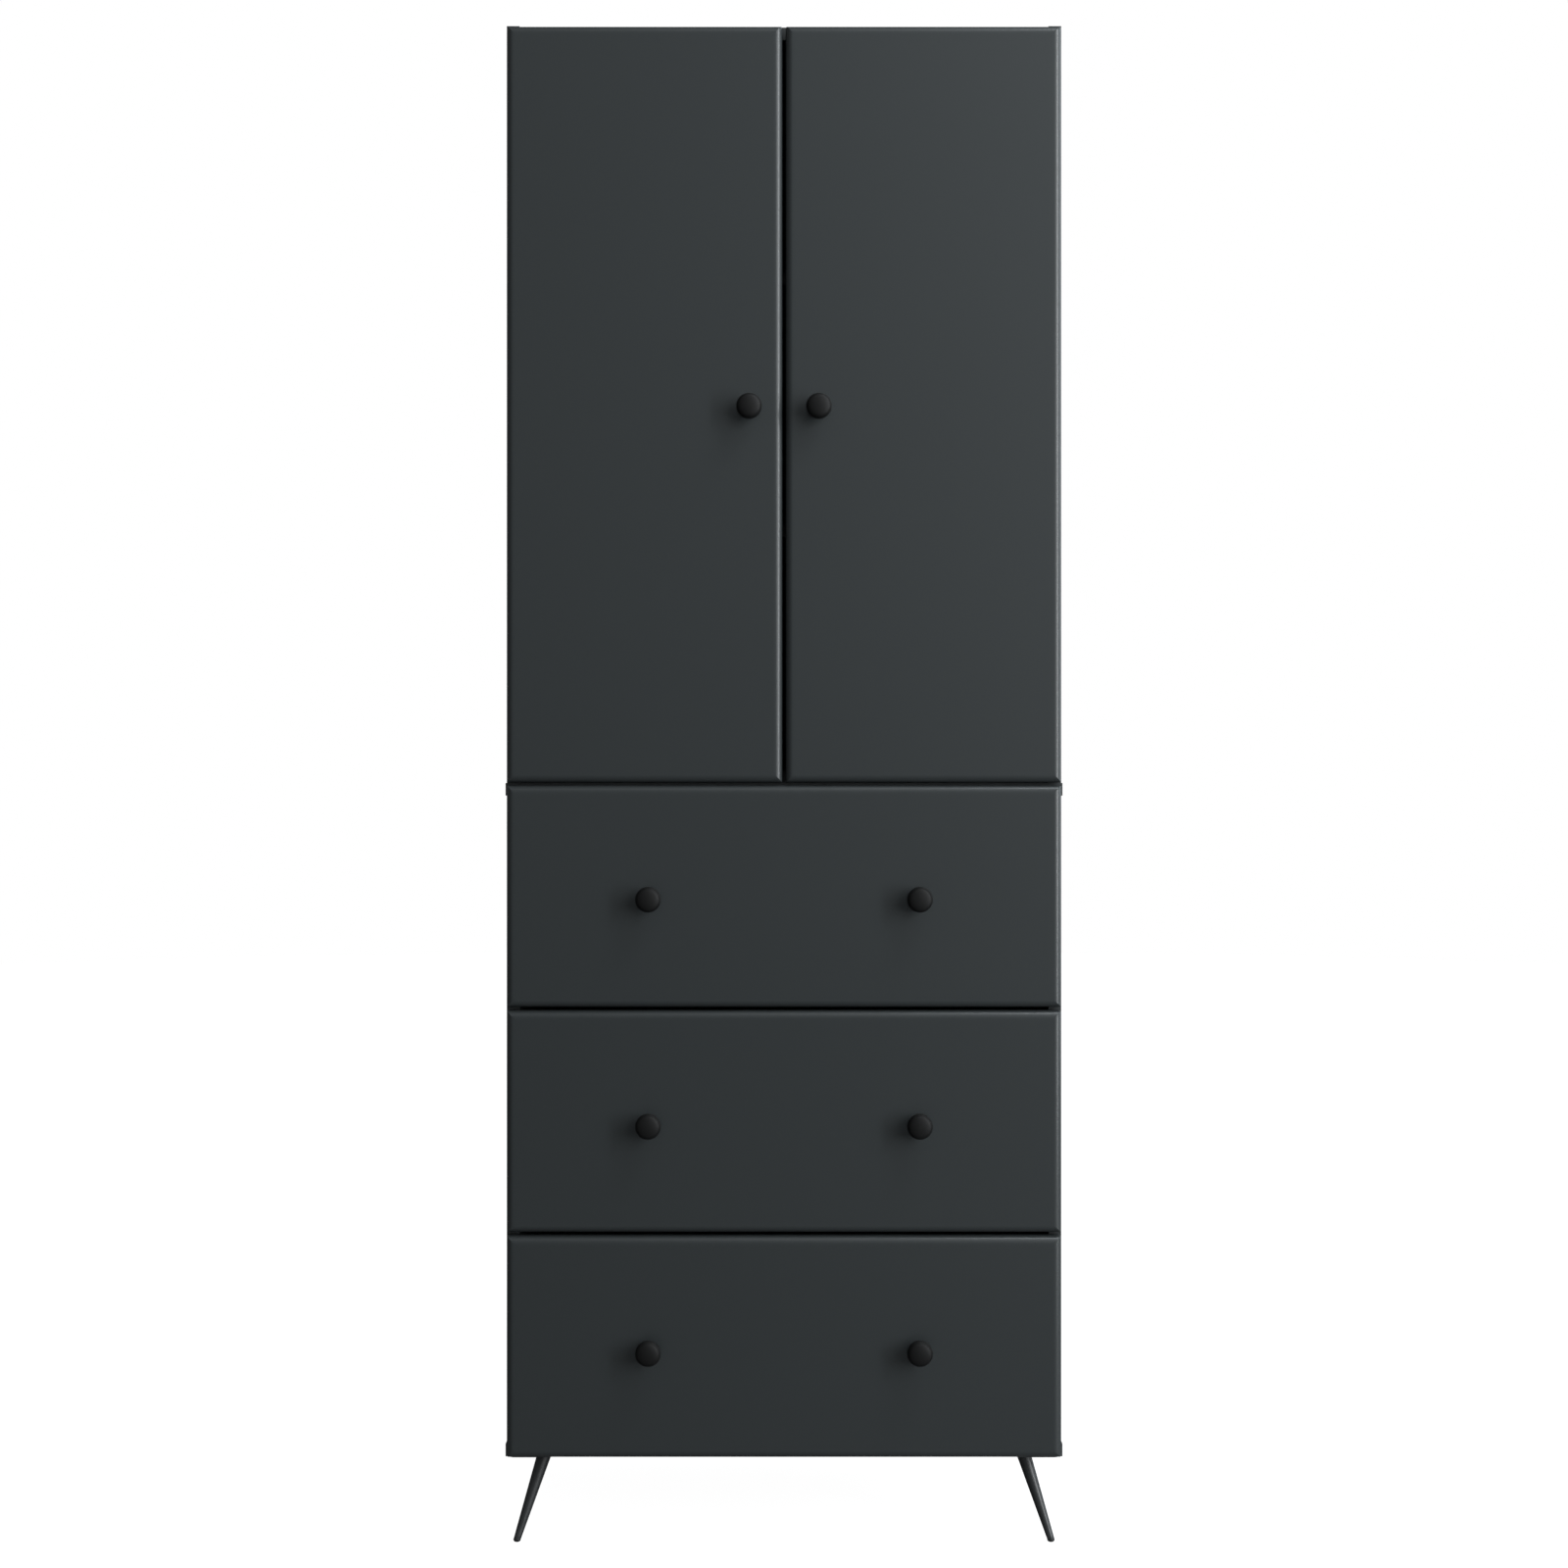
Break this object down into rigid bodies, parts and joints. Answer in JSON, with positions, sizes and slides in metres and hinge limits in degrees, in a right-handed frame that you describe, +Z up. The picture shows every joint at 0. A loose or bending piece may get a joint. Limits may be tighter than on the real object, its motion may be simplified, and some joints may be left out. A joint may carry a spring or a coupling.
{
  "type": "highboard wardrobe with doors and drawers",
  "caption": "Tall narrow cabinet on splayed steel legs: a two-door cupboard with shelves over a stack of drawers, plain rounded fronts and round knobs.",
  "frame": {"origin": "on the floor under the centre of the whole cabinet's bounding box", "axes": "+Z up, +Y towards the back, the doors and drawers face -Y, +X to the right seen from the front"},
  "size_m": [0.66, 0.385, 1.8],
  "materials": {
    "anthracite_front": "satin anthracite lacquer on MDF",
    "anthracite_board": "anthracite melamine on particle board",
    "drawer_board": "dark grey melamine",
    "back_board": "dark grey coated fibreboard",
    "beech": "plain beech",
    "black_knob": "matt black",
    "leg_steel": "dark grey powder coat",
    "foot_plastic": "dark plastic",
    "zinc_steel": "zinc plated",
    "nickel_steel": "nickel plated"
  },
  "bodies": {
    "carcass": {"lower_bottom_board": "anthracite_board", "lower_top_board": "anthracite_board", "lower_left_side": "anthracite_board", "lower_right_side": "anthracite_board", "upper_bottom_board": "anthracite_board", "upper_top_board": "anthracite_board", "upper_left_side": "anthracite_board", "upper_right_side": "anthracite_board", "lower_shelf": "anthracite_board", "upper_shelf": "anthracite_board", "lower_back_panel": "back_board", "upper_back_panel": "back_board", "cam_locks": "zinc_steel", "cam_bolts": "zinc_steel", "unit_connector_bolts": "zinc_steel", "shelf_pins": "zinc_steel", "carcass_screws": "zinc_steel", "wall_brackets": "zinc_steel", "cabinet_runners": "zinc_steel", "wood_dowels": "beech", "hinge_arms_and_plates": "nickel_steel", "front_left_leg": "leg_steel", "front_right_leg": "leg_steel", "rear_left_leg": "leg_steel", "rear_right_leg": "leg_steel", "foot_pads": "foot_plastic"},
    "left_door": {"left_door_panel": "anthracite_front", "left_door_knob": "black_knob", "left_hinge_cups": "nickel_steel", "left_door_screws": "zinc_steel"},
    "left_hinge_link": {"left_hinge_links": "nickel_steel"},
    "right_door": {"right_door_panel": "anthracite_front", "right_door_knob": "black_knob", "right_hinge_cups": "nickel_steel", "right_door_screws": "zinc_steel"},
    "right_hinge_link": {"right_hinge_links": "nickel_steel"},
    "bottom_drawer": {"bottom_drawer_front": "anthracite_front", "bottom_drawer_left_side": "drawer_board", "bottom_drawer_right_side": "drawer_board", "bottom_drawer_back": "drawer_board", "bottom_drawer_bottom": "back_board", "bottom_drawer_knobs": "black_knob", "bottom_drawer_slides": "zinc_steel"},
    "bottom_runner": {"bottom_runner_middles": "zinc_steel"},
    "middle_drawer": {"middle_drawer_front": "anthracite_front", "middle_drawer_left_side": "drawer_board", "middle_drawer_right_side": "drawer_board", "middle_drawer_back": "drawer_board", "middle_drawer_bottom": "back_board", "middle_drawer_knobs": "black_knob", "middle_drawer_slides": "zinc_steel"},
    "middle_runner": {"middle_runner_middles": "zinc_steel"},
    "top_drawer": {"top_drawer_front": "anthracite_front", "top_drawer_left_side": "drawer_board", "top_drawer_right_side": "drawer_board", "top_drawer_back": "drawer_board", "top_drawer_bottom": "back_board", "top_drawer_knobs": "black_knob", "top_drawer_slides": "zinc_steel"},
    "top_runner": {"top_runner_middles": "zinc_steel"}
  },
  "joints": [
    {"name": "left_door_hinge", "type": "hinge", "parent": "carcass", "child": "left_door", "pos_m": [-0.327, -0.1515, 1.35], "axis": [0, 0, 1], "range_deg": [-105, 0]},
    {"name": "right_door_hinge", "type": "hinge", "parent": "carcass", "child": "right_door", "pos_m": [0.327, -0.1515, 1.35], "axis": [0, 0, 1], "range_deg": [0, 105]},
    {"name": "left_link_pivot", "type": "hinge", "parent": "carcass", "child": "left_hinge_link", "pos_m": [-0.31, -0.147, 1.35], "axis": [0, 0, 1], "range_deg": [-109.5, 0]},
    {"name": "right_link_pivot", "type": "hinge", "parent": "carcass", "child": "right_hinge_link", "pos_m": [0.31, -0.147, 1.35], "axis": [0, 0, 1], "range_deg": [0, 109.5]},
    {"name": "bottom_drawer_slide", "type": "slide", "parent": "carcass", "child": "bottom_drawer", "axis": [0, -1, 0], "range_m": [0, 0.26]},
    {"name": "bottom_runner_slide", "type": "slide", "parent": "carcass", "child": "bottom_runner", "axis": [0, -1, 0], "range_m": [0, 0.131]},
    {"name": "middle_drawer_slide", "type": "slide", "parent": "carcass", "child": "middle_drawer", "axis": [0, -1, 0], "range_m": [0, 0.26]},
    {"name": "middle_runner_slide", "type": "slide", "parent": "carcass", "child": "middle_runner", "axis": [0, -1, 0], "range_m": [0, 0.131]},
    {"name": "top_drawer_slide", "type": "slide", "parent": "carcass", "child": "top_drawer", "axis": [0, -1, 0], "range_m": [0, 0.26]},
    {"name": "top_runner_slide", "type": "slide", "parent": "carcass", "child": "top_runner", "axis": [0, -1, 0], "range_m": [0, 0.131]}
  ],
  "couplings": [
    {"joint": "left_link_pivot", "follows": "left_door_hinge", "ratio": 1.038},
    {"joint": "right_link_pivot", "follows": "right_door_hinge", "ratio": 1.038},
    {"joint": "bottom_runner_slide", "follows": "bottom_drawer_slide", "ratio": 0.5},
    {"joint": "middle_runner_slide", "follows": "middle_drawer_slide", "ratio": 0.5},
    {"joint": "top_runner_slide", "follows": "top_drawer_slide", "ratio": 0.5}
  ]
}
